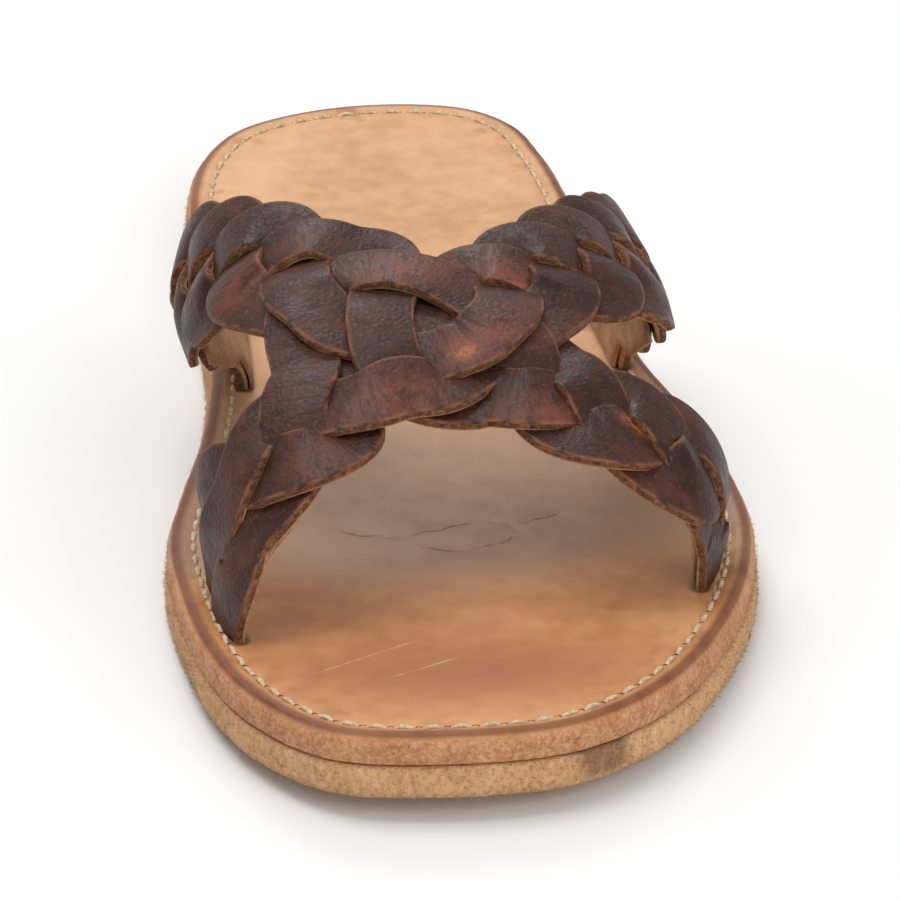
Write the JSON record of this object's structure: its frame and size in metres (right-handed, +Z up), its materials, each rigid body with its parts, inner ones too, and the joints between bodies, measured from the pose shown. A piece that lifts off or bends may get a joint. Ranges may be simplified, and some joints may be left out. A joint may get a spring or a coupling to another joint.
{
  "type": "leather slide sandal",
  "caption": "Open leather slide sandal: a flat stacked-leather sole and four plaited straps that cross over the instep and end in slots of the footbed.",
  "frame": {"origin": "centre of the bounding box on the floor", "axes": "+Y from toe to heel, +X to the little-toe side, +Z up"},
  "size_m": [0.104, 0.28, 0.0603],
  "materials": {
    "sole_leather": "natural, matt, cut edge",
    "footbed_leather": "natural tan, satin",
    "strap_leather": "waxed, half gloss"
  },
  "bodies": {
    "root": {"outsole": "sole_leather", "footbed": "footbed_leather", "upper": "strap_leather"}
  },
  "joints": []
}
